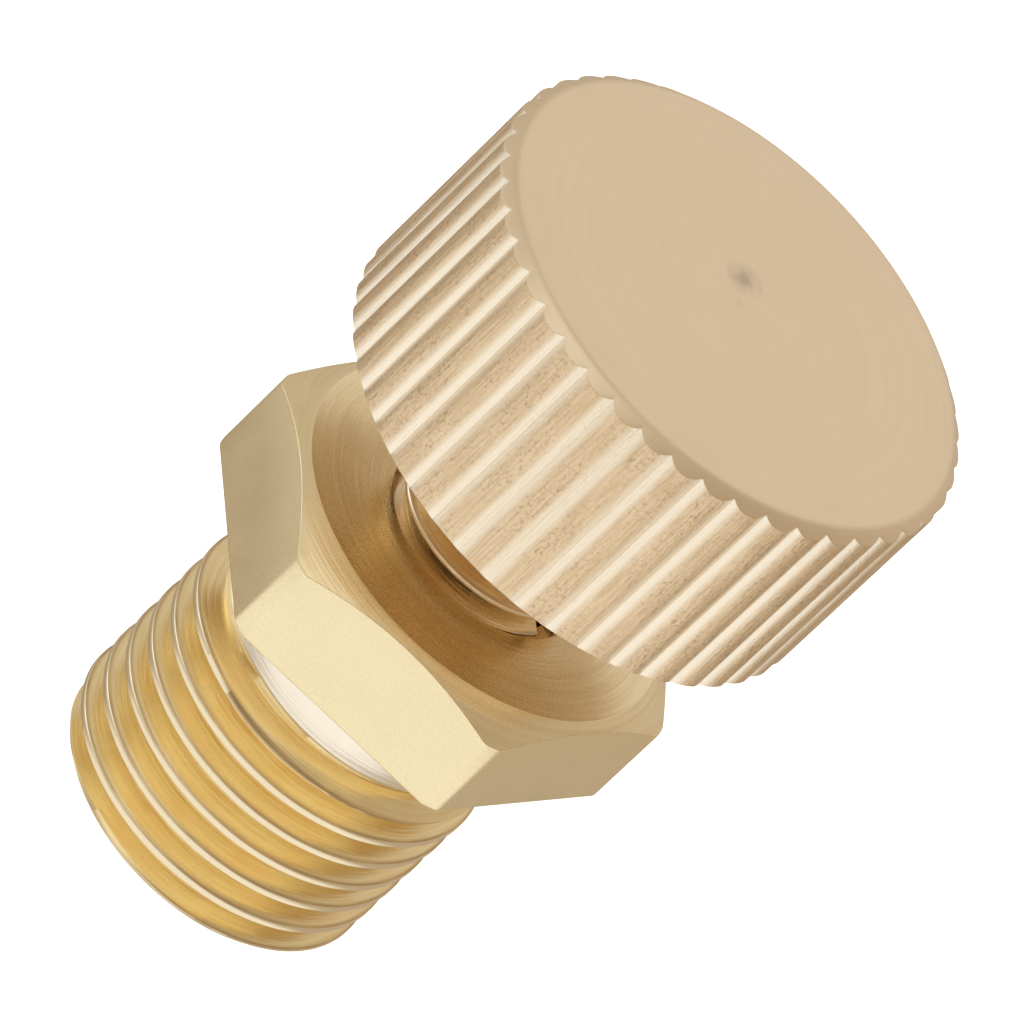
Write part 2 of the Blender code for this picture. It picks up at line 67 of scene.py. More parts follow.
# Hexagon body
HEX_FLAT = BODY_HIGH.y
HEX_CORNER = 9.05
HEX_CORNER_FILLET = 0.6
HEX_BOTTOM = 11.78
HEX_TOP = BODY_HIGH.z
HEX_FACE = 7.64
HEX_CHAMFER_SLOPE = 0.62
# Columns each side of a hexagon corner, in degrees
HEX_CORNER_COLUMNS = (0.4, 0.8, 1.2, 1.9, 2.3, 2.7, 3.3)
SHOULDER_FILLET = 0.15
# Width of the extra ring of faces round the mouth
TOP_RING = 1.6

# Rounded edges
FINE_EDGE = 0.03
EDGE = 0.05
SOFT_EDGE = 0.10
# An edge that turns more than this many degrees is shaded as a sharp one
SHARP_DEGREES = 32

# Male pipe thread, G1/4
PIPE_RADIUS = 6.5785
PIPE_ROOT = 5.7225
PIPE_PITCH = 1.337
PIPE_CREST_Z = 0.60
PIPE_END = 6.10
UNDERCUT = 5.70
UNDERCUT_BOTTOM = 9.12
# The thread's skin stops this far short of the undercut, and the plain neck starts this far past it
RUNOUT_STEP = 0.03
RUNOUT_TOP = 0.02
# How far inside the undercut's radius a face still has the thread's finish
THREAD_MARGIN = 0.1
PIPE_CREST_HALF = 0.12
PIPE_EDGE = 0.02

# Bores in the body, from the inlet up
INLET_CHAMFER = 0.3
INLET_EDGE = 0.04
# Width of the extra ring of faces on the end face
INLET_RING = 0.4
POCKET = 4.60
POCKET_TOP = 5.60
CHAMBER = 4.30
CHAMBER_TOP = 12.20
MOUTH = 4.10
MOUTH_DEPTH = 0.45

# Spindle thread, M8 x 1
SCREW_PITCH = 1.0
SCREW_CREST_Z = 0.25
SCREW_RADIUS = 3.90
SCREW_ROOT = 3.30
SCREW_CREST_HALF = 0.06
SCREW_EDGE = 0.02
SCREW_FLANK = math.tan(math.radians(30))
NUT_CREST = 3.42
NUT_ROOT = 4.05
NUT_LEAD = 4.08
NUT_CLEARANCE = 0.09

# Spindle
SPINDLE_END = 3.25
SPINDLE_END_EDGE = 0.2
# Degrees between the spindle's columns of vertices
SPINDLE_COLUMN = 2.0
STOP_GROOVE = (10.40, 11.15)
STOP_GROOVE_RADIUS = 2.90
SCREW_BOTTOM = 11.60
SCREW_TOP = 19.90
NECK = 3.20
NECK_CHAMFER = 0.1
COLLAR = (20.50, 21.12)
COLLAR_FILLET = 0.08
COLLAR_EDGE = 0.15
SHANK = 2.50
SHANK_FLAT = 2.00
SHANK_CHAMFER = 0.3
SLOT_FLOOR = 2.60
SLOT_TOP = 20.20
SLOT_TOP_STEP = 0.05
SLOT_ANGLES = (-20, 160)
SLOT_HALF_ANGLE = 10.0
SLOT_WALL_ANGLE = 0.6
STEM_BORE = 1.55
STEM_BORE_TOP = 15.85
CLIP_GROOVE = (10.55, 11.15)
CLIP_GROOVE_RADIUS = 1.95

# Knob; its radius is just inside the CAD knob's, so that nothing stands past its box
KNOB_RADIUS = 9.985
KNOB_BOTTOM = KNOB_LOW.z
KNOB_TOP = KNOB_HIGH.z
KNOB_FACE = 9.47
KNOB_CHAMFER_SLOPE = 0.75
KNOB_EDGE = 0.45
KNURL_TEETH = 45
KNURL_PHASE = 5.35
KNURL_DEPTH = 0.24
KNOB_BORE = 2.62
KNOB_BORE_TOP = 27.90
KNOB_BORE_CHAMFER = 0.15
# Radii of the extra rings of vertices on the flat faces
KNOB_RINGS = (2.0, 6.0)
# The turning pip in the middle of the top face: radius and depth, then its rim's
KNOB_PIP = (0.16, 0.05)
KNOB_PIP_RIM = (0.1, 0.015)

# Set screw in the knob
SET_SCREW_RADIUS = 1.86
SET_SCREW_HOLE = 2.00
SET_SCREW_KEY = 2.0
SET_SCREW_KEY_DEPTH = 1.8
SET_SCREW_KEY_RIM = 1.12
SET_SCREW_KEY_POINT = (0.1, 0.4)
SET_SCREW_TIP = 0.7
SET_SCREW_TIP_CHAMFER = 0.5
SET_SCREW_CHAMFER = 0.3
# Where the screw's hole is cut from and to, along +Y: from inside the bore to outside the knob
SET_SCREW_DRILL = (KNOB_BORE - 1.2, KNOB_RADIUS + 1)
SET_SCREW_AXIS_Z = (SET_SCREW_LOW.z + SET_SCREW_HIGH.z) / 2

# Seat and the hollow screw under it
RETAINER_KEY = 6.0
RETAINER_KEY_RIM = 3.25
RETAINER_CHAMFER = 0.25
KEY_CHAMFER_SLOPE = 0.6
KEY_CHAMFER_STEP = 0.02
# Degrees between the retainer's columns, and from a corner of its key to the columns beside it
RETAINER_COLUMN = 3.0
KEY_CORNER_COLUMN = 0.6
SEAT_ORIFICE = 1.50
SEAT_ORIFICE_CHAMFER = 0.40
SEAT_EDGE = 0.08
O_RING_GROOVE = (4.05, 4.95)
O_RING_GROOVE_RADIUS = 3.68

# Columns of vertices round the body, before the closer ones at the hexagon's corners
COLUMNS = 240

# Camera: where it looks, and from where
AIM = Vector((-0.16, 0.02, 17.92)) * MM
CAMERA_AZIMUTH = -95.51
CAMERA_ELEVATION = 33.16
CAMERA_ROLL = 46.35
CAMERA_DISTANCE = 443.94 * MM
CAMERA_LENS = 448.38
CAMERA_SENSOR = 36.0
CAMERA_CLIP = (0.01, 20.0)


# ---------------------------------------------------------------- shapes


def vertex(shape, radius, angle, z):
    return shape.verts.new((radius * math.cos(angle) * MM, radius * math.sin(angle) * MM, z * MM))


def even_angles(count):
    return [2 * math.pi * step / count for step in range(count)]


def rounded(points, steps=3):
    """A profile of (radius, z, rounding) points with its corners turned into arcs."""
    outline = []
    for index, (radius, z, rounding) in enumerate(points):
        corner = Vector((radius, z))
        if not rounding:
            outline.append(corner)
            continue
        before = (Vector(points[index - 1][:2]) - corner).normalized()
        after = (Vector(points[index + 1][:2]) - corner).normalized()
        half = before.angle(after) / 2
        centre = corner + (before + after).normalized() * rounding / math.sin(half)
        start = corner + before * rounding / math.tan(half) - centre
        end = corner + after * rounding / math.tan(half) - centre
        outline += [centre + start.slerp(end, step / steps) * rounding for step in range(steps + 1)]
    return outline


def rows_of(shape, angles, profile):
    """Rows of vertices along a profile, which may be a function of the angle."""
    columns = []
    for angle in angles:
        points = profile(angle) if callable(profile) else profile
        columns.append([vertex(shape, radius, angle, z) for radius, z in points])
    return [list(row) for row in zip(*columns)]


def join_rows(shape, rows, closed=False):
    pairs = list(zip(rows, rows[1:]))
    if closed:
        pairs.append((rows[-1], rows[0]))
    for low, high in pairs:
        for column in range(len(low)):
            after = (column + 1) % len(low)
            shape.faces.new((low[column], low[after], high[after], high[column]))


def thread_radius(keys, pitch, z):
    """The radius of a thread's outline at a height counted from a crest's middle."""
    z = (z - keys[0][0]) % pitch + keys[0][0]
    for (z0, r0), (z1, r1) in zip(keys, [*keys[1:], (keys[0][0] + pitch, keys[0][1])]):
        if z <= z1:
            return r0 + (r1 - r0) * (z - z0) / (z1 - z0)


def thread_skin(shape, angles, low, high, pitch, crest_z, keys, limit):
    """A right-hand thread between two level rows; keys are (z, radius) over one pitch.

    A point past an end row, or closer to it than snap, becomes that row's own vertex.
    """
    snap = pitch * 0.01
    z_low, z_high = low[0].co.z / MM, high[0].co.z / MM
    first = math.floor((z_low - crest_z) / pitch) - 2
    last = math.ceil((z_high - crest_z) / pitch) + 2
    rows = [(crest_z + turn * pitch + z, radius) for turn in range(first, last) for z, radius in keys]
    columns = []
    for column, angle in enumerate(angles):
        climb = pitch * angle / (2 * math.pi)
        points = []
        for z, radius in rows:
            if z + climb < z_low + snap:
                points.append(low[column])
            elif z + climb > z_high - snap:
                points.append(high[column])
            else:
                points.append(vertex(shape, limit(radius, z + climb, angle), angle, z + climb))
        columns.append(points)
    for column, points in enumerate(columns):
        after = (column + 1) % len(columns)
        shift = len(keys) if after == 0 else 0
        beside = columns[after]
        for row in range(len(rows) - 1 - shift):
            corners = [points[row], beside[row + shift], beside[row + 1 + shift], points[row + 1]]
            corners = list(dict.fromkeys(corners))
            if len(corners) > 2:
                shape.faces.new(corners)


def thread_keys(pitch, crest, root, crest_half, root_half, edge, flank_steps=4):
    """One pitch of a thread's outline with softened crest edges."""
    flank = (pitch / 2 - root_half - crest_half) / (crest - root)
    down = [
        (crest_half - edge, crest),
        (crest_half + edge * 0.25, crest - edge * 0.45),
        (crest_half + edge + edge * flank, crest - edge * 1.6),
    ]
    start_z, start_radius = down[-1]
    for step in range(1, flank_steps + 1):
        share = step / flank_steps
        z = start_z + (pitch / 2 - root_half - start_z) * share
        down.append((z, start_radius + (root - start_radius) * share))
    up = [(-z, radius) for z, radius in reversed(down)]
    return [*up, *down]


def hexagon_radius(angle, flat):
    return flat / math.cos((angle % math.radians(60)) - math.radians(30))


def rounded_hexagon(angle):
    """The body's hexagon: flats, a turned corner, and a fillet between the two."""
    from_corner = abs((angle + math.radians(30)) % math.radians(60) - math.radians(30))
    reach = HEX_CORNER - HEX_CORNER_FILLET
    fillet_angle = math.radians(30) - math.acos((HEX_FLAT - HEX_CORNER_FILLET) / reach)
    across_fillet = reach * math.sin(math.radians(30) - fillet_angle)
    flat_angle = math.radians(30) - math.atan(across_fillet / HEX_FLAT)
    if from_corner <= fillet_angle:
        return HEX_CORNER
    if from_corner < flat_angle:
        across = reach * math.sin(from_corner - fillet_angle)
        along = reach * math.cos(from_corner - fillet_angle)
        return along + math.sqrt(HEX_CORNER_FILLET ** 2 - across ** 2)
    return HEX_FLAT / math.cos(math.radians(30) - from_corner)


def body_angles():
    """Even columns, and closer ones where the hexagon's corners turn."""
    degrees = {round(step * 360 / COLUMNS, 3) for step in range(COLUMNS)}
    for corner in range(0, 360, 60):
        for offset in HEX_CORNER_COLUMNS:
            degrees |= {round((corner + offset) % 360, 3), round((corner - offset) % 360, 3)}
    return [math.radians(angle) for angle in sorted(degrees)]


def add_object(name, shape, materials):
    bmesh.ops.recalc_face_normals(shape, faces=shape.faces)
    mesh = bpy.data.meshes.new(name)
    shape.to_mesh(mesh)
    shape.free()
    mesh.shade_smooth()
    mesh.set_sharp_from_angle(angle=math.radians(SHARP_DEGREES))
    for made_of in materials:
        mesh.materials.append(made_of)
    made = bpy.data.objects.new(name, mesh)
    bpy.context.scene.collection.objects.link(made)
    return made


def stand_for(made, body, node):
    """Puts a piece on its body, in place of the CAD's mesh."""
    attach(made, body)
    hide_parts(node)
    return made


def make_body(turned, flats, threaded):
    shape = bmesh.new()
    angles = body_angles()
    keys = thread_keys(PIPE_PITCH, PIPE_RADIUS, PIPE_ROOT, PIPE_CREST_HALF, PIPE_CREST_HALF, PIPE_EDGE)

    def pipe_limit(radius, z, angle):
        """The thread is cut back at 45 degrees at its start and at the undercut."""
        return min(radius, PIPE_END + z, UNDERCUT + UNDERCUT_BOTTOM - z)

    def end_radius(angle):
        """Where the thread's outline meets the end face."""
        z = -PIPE_CREST_Z - PIPE_PITCH * angle / (2 * math.pi)
        return min(PIPE_END, thread_radius(keys, PIPE_PITCH, z))

    def outside(angle):
        hexagon = rounded_hexagon(angle)
        chamfer_z = HEX_TOP - (hexagon - HEX_FACE) * HEX_CHAMFER_SLOPE
        return rounded([
            (UNDERCUT + RUNOUT_STEP, UNDERCUT_BOTTOM - RUNOUT_STEP, 0),
            (UNDERCUT, UNDERCUT_BOTTOM + RUNOUT_TOP, 0),
            (UNDERCUT, HEX_BOTTOM, SHOULDER_FILLET),
            (hexagon, HEX_BOTTOM, SOFT_EDGE),
            (hexagon, chamfer_z, EDGE),
            (HEX_FACE, HEX_TOP, EDGE),
            (MOUTH + TOP_RING, HEX_TOP, 0),
            (MOUTH, HEX_TOP, EDGE),
            (NUT_LEAD, HEX_TOP - MOUTH_DEPTH, 0),
        ])

    outer_rows = rows_of(shape, angles, outside)
    end_row = [vertex(shape, end_radius(angle), angle, 0) for angle in angles]
    thread_skin(shape, angles, end_row, outer_rows[0], PIPE_PITCH, PIPE_CREST_Z, keys, pipe_limit)
    join_rows(shape, outer_rows)
    inside = rounded([
        (NUT_LEAD, CHAMBER_TOP, 0),
        (CHAMBER, CHAMBER_TOP, 0),
        (CHAMBER, POCKET_TOP, 0),
        (POCKET, POCKET_TOP, 0),
        (POCKET, INLET_CHAMFER, INLET_EDGE),
        (POCKET + INLET_CHAMFER, 0, 0),
        (POCKET + INLET_CHAMFER + INLET_RING, 0, 0),
    ])
    inner_rows = rows_of(shape, angles, inside)
    join_rows(shape, [*inner_rows, end_row])
    crest_half = NUT_CLEARANCE + SCREW_CREST_HALF + (SCREW_RADIUS - NUT_CREST) * SCREW_FLANK
    root_half = NUT_CLEARANCE + SCREW_CREST_HALF + (SCREW_RADIUS - NUT_ROOT) * SCREW_FLANK
    nut_keys = [
        (-root_half, NUT_ROOT),
        (root_half, NUT_ROOT),
        (crest_half, NUT_CREST),
        (SCREW_PITCH - crest_half, NUT_CREST),
    ]
    thread_skin(
        shape, angles, inner_rows[0], outer_rows[-1], SCREW_PITCH, SCREW_CREST_Z, nut_keys,
        lambda radius, z, angle: radius,
    )
    made = add_object("valve_body_visual", shape, [turned, flats, threaded])
    for face in made.data.polygons:
        middle = face.center / MM
        out = math.hypot(middle.x, middle.y)
        if HEX_BOTTOM < middle.z < HEX_TOP and abs(face.normal.z) < 0.02 and out > HEX_FACE:
            face.material_index = 1
        elif middle.z < HEX_BOTTOM - SHOULDER_FILLET and out > UNDERCUT - THREAD_MARGIN:
            face.material_index = 2
    return stand_for(made, "body", "valve_body")


def make_spindle(brass):
    shape = bmesh.new()
    degrees = {round(step * SPINDLE_COLUMN, 3) for step in range(round(360 / SPINDLE_COLUMN))}
    for slot in SLOT_ANGLES:
        for side in (-1, 1):
            wall = slot + side * SLOT_HALF_ANGLE
            degrees |= {round(wall % 360, 3), round((wall + side * SLOT_WALL_ANGLE) % 360, 3)}
    angles = [math.radians(angle) for angle in sorted(degrees)]

    def slotted(radius, z, angle):
        """The radius, or the slot's floor where a slot is open."""
        turns = [(math.degrees(angle) - slot + 180) % 360 - 180 for slot in SLOT_ANGLES]
        open_here = min(abs(turn) for turn in turns) < SLOT_HALF_ANGLE + SLOT_WALL_ANGLE / 2
        return min(radius, SLOT_FLOOR) if open_here and z < SLOT_TOP else radius

    def below(angle):
        points = rounded([
            (STEM_BORE, SPINDLE_LOW.z, 0),
            (SPINDLE_END, SPINDLE_LOW.z, SPINDLE_END_EDGE),
            (SPINDLE_END, STOP_GROOVE[0], SCREW_EDGE),
            (STOP_GROOVE_RADIUS, STOP_GROOVE[0], 0),
            (STOP_GROOVE_RADIUS, STOP_GROOVE[1], 0),
            (SPINDLE_END, STOP_GROOVE[1], SCREW_EDGE),
            (SPINDLE_END, SCREW_BOTTOM, 0),
        ])
        return [(slotted(radius, z, angle), z) for radius, z in points]

    def above(angle):
        across = math.cos(angle - math.radians(90))
        shank = min(SHANK, SHANK_FLAT / across) if across > 0 else SHANK
        points = rounded([
            (SCREW_ROOT, SCREW_TOP, 0),
            (NECK, SCREW_TOP + NECK_CHAMFER, 0),
            (NECK, SLOT_TOP, 0),
            (NECK, SLOT_TOP + SLOT_TOP_STEP, 0),
            (NECK, COLLAR[0], COLLAR_FILLET),
            (SCREW_RADIUS, COLLAR[0], COLLAR_EDGE),
            (SCREW_RADIUS, COLLAR[1], COLLAR_EDGE),
            (shank, COLLAR[1], 0),
            (shank, SPINDLE_HIGH.z - SHANK_CHAMFER, 0),
            (shank - SHANK_CHAMFER, SPINDLE_HIGH.z, 0),
        ])
        return [(slotted(radius, z, angle), z) for radius, z in points]

    below_rows = rows_of(shape, angles, below)
    above_rows = rows_of(shape, angles, above)
    root_half = SCREW_PITCH / 2 - SCREW_CREST_HALF - (SCREW_RADIUS - SCREW_ROOT) * SCREW_FLANK
    keys = thread_keys(SCREW_PITCH, SCREW_RADIUS, SCREW_ROOT, SCREW_CREST_HALF, root_half, SCREW_EDGE)
    thread_skin(
        shape, angles, below_rows[-1], above_rows[0], SCREW_PITCH, SCREW_CREST_Z, keys, slotted
    )
    bore = rows_of(shape, angles, [
        (STEM_BORE, STEM_BORE_TOP),
        (STEM_BORE, CLIP_GROOVE[1]),
        (CLIP_GROOVE_RADIUS, CLIP_GROOVE[1]),
        (CLIP_GROOVE_RADIUS, CLIP_GROOVE[0]),
        (STEM_BORE, CLIP_GROOVE[0]),
    ])
    join_rows(shape, [*bore, *below_rows])
    join_rows(shape, above_rows)
    shape.faces.new(bore[0])
    shape.faces.new(above_rows[-1])
    made = add_object("spindle_visual", shape, [brass])
    return stand_for(made, "spindle_body", "spindle")


# Half a knurl's tooth, from the sharp valley to the broad crest: (share of tooth, share of depth)
KNURL_FLANK = (
    (0.0, 1.0), (0.018, 0.965), (0.05, 0.83), (0.09, 0.66), (0.14, 0.48), (0.20, 0.31),
    (0.27, 0.16), (0.35, 0.06), (0.43, 0.01),
)


def knurl_outline():
    """(angle, radius) round the knob: sharp valleys between broad, rounded crests."""
    tooth = 360 / KNURL_TEETH
    falling = [(1 - along, depth) for along, depth in reversed(KNURL_FLANK[1:])]
    section = [*KNURL_FLANK, (0.5, 0.0), *falling]
    return [
        (math.radians(KNURL_PHASE + (index + along) * tooth), KNOB_RADIUS - KNURL_DEPTH * depth)
        for index in range(KNURL_TEETH) for along, depth in section
    ]


def make_knob(side, top):
    shape = bmesh.new()
    outline = knurl_outline()

    def profile(radius):
        fall = (radius - KNOB_FACE) * KNOB_CHAMFER_SLOPE
        return rounded([
            (KNOB_BORE, KNOB_BORE_TOP, 0),
            (KNOB_BORE, KNOB_BOTTOM + KNOB_BORE_CHAMFER, 0),
            (KNOB_BORE + KNOB_BORE_CHAMFER, KNOB_BOTTOM, 0),
            (KNOB_RINGS[1], KNOB_BOTTOM, 0),
            (KNOB_FACE, KNOB_BOTTOM, KNOB_EDGE),
            (radius, KNOB_BOTTOM + fall, FINE_EDGE),
            (radius, (KNOB_BOTTOM + KNOB_TOP) / 2, 0),
            (radius, KNOB_TOP - fall, FINE_EDGE),
            (KNOB_FACE, KNOB_TOP, KNOB_EDGE),
            (KNOB_RINGS[1], KNOB_TOP, 0),
            (KNOB_RINGS[0], KNOB_TOP, 0),
            (KNOB_PIP[0] + KNOB_PIP_RIM[0], KNOB_TOP, 0),
            (KNOB_PIP[0], KNOB_TOP - KNOB_PIP_RIM[1], 0),
            (KNOB_PIP[0] / 3, KNOB_TOP - KNOB_PIP[1], 0),
        ])

    columns = [
        [vertex(shape, at_radius, angle, z) for at_radius, z in profile(radius)]
        for angle, radius in outline
    ]
    rows = [list(row) for row in zip(*columns)]
    join_rows(shape, rows)
    shape.faces.new(rows[0])
    shape.faces.new(rows[-1])
    knob = add_object("knob_visual", shape, [side, top])
    for polygon in knob.data.polygons:
        if abs(polygon.normal.z) > 0.5:
            polygon.material_index = 1
    drill_screw_hole(knob)
    return stand_for(knob, "spindle_body", "knob")


def drill_screw_hole(knob):
    """Cuts the set screw's hole from the side on +Y to the bore, and keeps the cut mesh."""
    shape = bmesh.new()
    rows = []
    for y in SET_SCREW_DRILL:
        rows.append([
            shape.verts.new((
                SET_SCREW_HOLE * math.cos(angle) * MM,
                y * MM,
                (SET_SCREW_AXIS_Z + SET_SCREW_HOLE * math.sin(angle)) * MM,
            ))
            for angle in even_angles(72)
        ])
    join_rows(shape, rows)
    for row in rows:
        shape.faces.new(row)
    drill = add_object("drill", shape, [])
    cut = knob.modifiers.new("hole", "BOOLEAN")
    cut.operation = "DIFFERENCE"
    cut.solver = "EXACT"
    cut.object = drill
    bpy.context.view_layer.update()
    cut_knob = knob.evaluated_get(bpy.context.evaluated_depsgraph_get())
    knob.data = bpy.data.meshes.new_from_object(cut_knob)
    knob.modifiers.clear()
    bpy.data.objects.remove(drill)


def make_retainer(brass):
    shape = bmesh.new()
    bottom, top = RETAINER_LOW.z, RETAINER_HIGH.z
    outer = RETAINER_HIGH.x

    def profile(angle):
        key = hexagon_radius(angle, RETAINER_KEY / 2)
        chamfered = max(key, RETAINER_KEY_RIM)
        return rounded([
            (key, top, 0),
            (key, bottom + (chamfered - key) * KEY_CHAMFER_SLOPE + KEY_CHAMFER_STEP, 0),
            (chamfered, bottom, 0),
            (outer - RETAINER_CHAMFER, bottom, EDGE),
            (outer, bottom + RETAINER_CHAMFER, EDGE),
            (outer, top, 0),
        ])

    degrees = {round(step * RETAINER_COLUMN, 3) for step in range(round(360 / RETAINER_COLUMN))}
    for corner in range(0, 360, 60):
        for side in (-KEY_CORNER_COLUMN, KEY_CORNER_COLUMN):
            degrees.add(round((corner + side) % 360, 3))
    angles = [math.radians(angle) for angle in sorted(degrees)]
    join_rows(shape, rows_of(shape, angles, profile), closed=True)
    made = add_object("seat_retainer_visual", shape, [brass])
    return stand_for(made, "body", "seat_retainer")


def make_seat(plastic):
    shape = bmesh.new()
    bottom, top, outer = SEAT_LOW.z, SEAT_HIGH.z, SEAT_HIGH.x
    rows = rows_of(shape, even_angles(120), rounded([
        (SEAT_ORIFICE, top - SEAT_ORIFICE_CHAMFER, FINE_EDGE),
        (SEAT_ORIFICE, bottom + SEAT_ORIFICE_CHAMFER, FINE_EDGE),
        (SEAT_ORIFICE + SEAT_ORIFICE_CHAMFER, bottom, FINE_EDGE),
        (outer, bottom, SEAT_EDGE),
        (outer, O_RING_GROOVE[0], FINE_EDGE),
        (O_RING_GROOVE_RADIUS, O_RING_GROOVE[0], EDGE),
        (O_RING_GROOVE_RADIUS, O_RING_GROOVE[1], EDGE),
        (outer, O_RING_GROOVE[1], FINE_EDGE),
        (outer, top, SEAT_EDGE),
        (SEAT_ORIFICE + SEAT_ORIFICE_CHAMFER, top, 0),
    ]))
    join_rows(shape, rows, closed=True)
    made = add_object("seat_ring_visual", shape, [plastic])
    return stand_for(made, "body", "seat_ring")


def make_set_screw(steel):
    shape = bmesh.new()
    point, end = SET_SCREW_LOW.y, SET_SCREW_HIGH.y
    recess = end - SET_SCREW_KEY_DEPTH

    def profile(angle):
        key = hexagon_radius(angle, SET_SCREW_KEY / 2)
        rim = max(key, SET_SCREW_KEY_RIM)
        return rounded([
            (SET_SCREW_TIP, point, 0),
            (SET_SCREW_RADIUS - SET_SCREW_TIP_CHAMFER, point, EDGE),
            (SET_SCREW_RADIUS, point + SET_SCREW_TIP_CHAMFER, EDGE),
            (SET_SCREW_RADIUS, end - SET_SCREW_CHAMFER, EDGE),
            (SET_SCREW_RADIUS - SET_SCREW_CHAMFER, end, EDGE),
            (rim, end, 0),
            (key, end - (rim - key) * KEY_CHAMFER_SLOPE - KEY_CHAMFER_STEP, 0),
            (key, recess, 0),
            (SET_SCREW_KEY_POINT[0], recess - SET_SCREW_KEY_POINT[1], 0),
        ])

    rows = rows_of(shape, even_angles(96), profile)
    join_rows(shape, rows)
    shape.faces.new(rows[0])
    shape.faces.new(rows[-1])
    # Turned from its own axis, +Z, to the side of the knob that it sits in, +Y
    for corner in shape.verts:
        x, y, z = corner.co
        corner.co = (x, z, SET_SCREW_AXIS_Z * MM - y)
    made = add_object("knob_set_screw_visual", shape, [steel])
    return stand_for(made, "spindle_body", "knob_set_screw")


# ---------------------------------------------------------------- materials

# Scales of the noises, per millimetre or per radian
FINE_LINES = (14.0, 1.5)
COARSE_LINES = (4.5, 0.4)
THREAD_LINES = (9.0, 1.2)
DRAWN_SCALE = (110.0, 10.0, 0.6)
SPECK_SCALE = (80.0, 8.0, 5.5)
# The part of a noise's range that a change is spread over
MOTTLE = (0.38, 0.62)
GRAIN = (0.3, 0.7)
SPECKS = (0.50, 0.72)
# Depths below a thread's or the knurl's outer radius, between which a finish changes
# The first band is where a thin line of painted shade lies beside a thread's crest
PAINTED_SHADE_BAND = (0.16, 0.06)
CREST_BAND = (0.035, 0.015)
KNURL_BAND = (0.14, 0.03)
# The neck's pale brass is a painted glare
NECK_PAINTED_GLARE = (0.96, 0.87, 0.73)
NECK_BLEND = 0.03
SMUDGE_AT = (-0.30, 1.36, KNOB_TOP)
SMUDGE_REACH = (0.1, 0.9)


class Finish:
    """A Principled material built up from nodes; position is the row frame's, in millimetres."""

    def __init__(self, name, metallic, roughness):
        self.material = bpy.data.materials.new(name)
        self.material.use_nodes = True
        self.tree = self.material.node_tree
        self.shader = self.tree.nodes["Principled BSDF"]
        self.shader.inputs["Metallic"].default_value = metallic
        self.shader.inputs["Roughness"].default_value = roughness
        place = self.node("ShaderNodeTexCoord", output="Object")
        self.position = self.vector("SCALE", place, scale=1 / MM)

    def node(self, kind, inputs=None, output=0, **settings):
        made = self.tree.nodes.new(kind)
        for key, value in settings.items():
            setattr(made, key, value)
        for socket, value in (inputs or {}).items():
            if isinstance(value, bpy.types.NodeSocket):
                self.tree.links.new(value, made.inputs[socket])
            else:
                made.inputs[socket].default_value = value
        return made.outputs[output]

    def vector(self, operation, first, second=None, scale=None):
        inputs = {0: first}
        if second is not None:
            inputs[1] = second
        if scale is not None:
            inputs["Scale"] = scale
        output = "Value" if operation in ("LENGTH", "DISTANCE") else "Vector"
        return self.node("ShaderNodeVectorMath", inputs, output, operation=operation)

    def math(self, operation, first, second=0.0):
        return self.node("ShaderNodeMath", {0: first, 1: second}, operation=operation)

    def combine(self, x, y, z):
        return self.node("ShaderNodeCombineXYZ", {0: x, 1: y, 2: z})

    def scaled(self, parts, scales):
        return self.combine(*(self.math("MULTIPLY", part, scale) for part, scale in zip(parts, scales)))

    def noise(self, at, scale, detail=2.0, roughness=0.5):
        inputs = {"Vector": at, "Scale": scale, "Detail": detail, "Roughness": roughness}
        return self.node("ShaderNodeTexNoise", inputs, "Fac")

    def ramp(self, value, low, high, to_low=0.0, to_high=1.0):
        inputs = {"Value": value, "From Min": low, "From Max": high, "To Min": to_low, "To Max": to_high}
        return self.node("ShaderNodeMapRange", inputs, clamp=True)

    def mix(self, share, first, second):
        made = self.tree.nodes.new("ShaderNodeMix")
        made.data_type = "RGBA"
        for index, value in ((0, share), (6, first), (7, second)):
            if isinstance(value, bpy.types.NodeSocket):
                self.tree.links.new(value, made.inputs[index])
            else:
                made.inputs[index].default_value = value if index == 0 else (*value, 1.0)
        return made.outputs[2]

    def around_axis(self):
        """Distance from the valve's axis, angle about it, and height."""
        parts = self.tree.nodes.new("ShaderNodeSeparateXYZ")
        self.tree.links.new(self.position, parts.inputs[0])
        x, y, z = parts.outputs
        flat = self.combine(x, y, 0.0)
        return self.vector("LENGTH", flat), self.math("ARCTAN2", y, x), z

    def set(self, socket, value):
        self.tree.links.new(value, self.shader.inputs[socket])

    def bump(self, height, distance, strength=1.0, under=None):
        inputs = {"Height": height, "Distance": distance, "Strength": strength}
        if under is not None:
            inputs["Normal"] = under
        return self.node("ShaderNodeBump", inputs)


def turning_lines(finish, across, along):
    """Fine rings left by the lathe tool: they follow radius and height, and fade round the part."""
    radius, angle, z = finish.around_axis()
    at = finish.scaled((radius, angle, z), (across, along, across))
    return finish.noise(at, 1.0, detail=3.0, roughness=0.6)


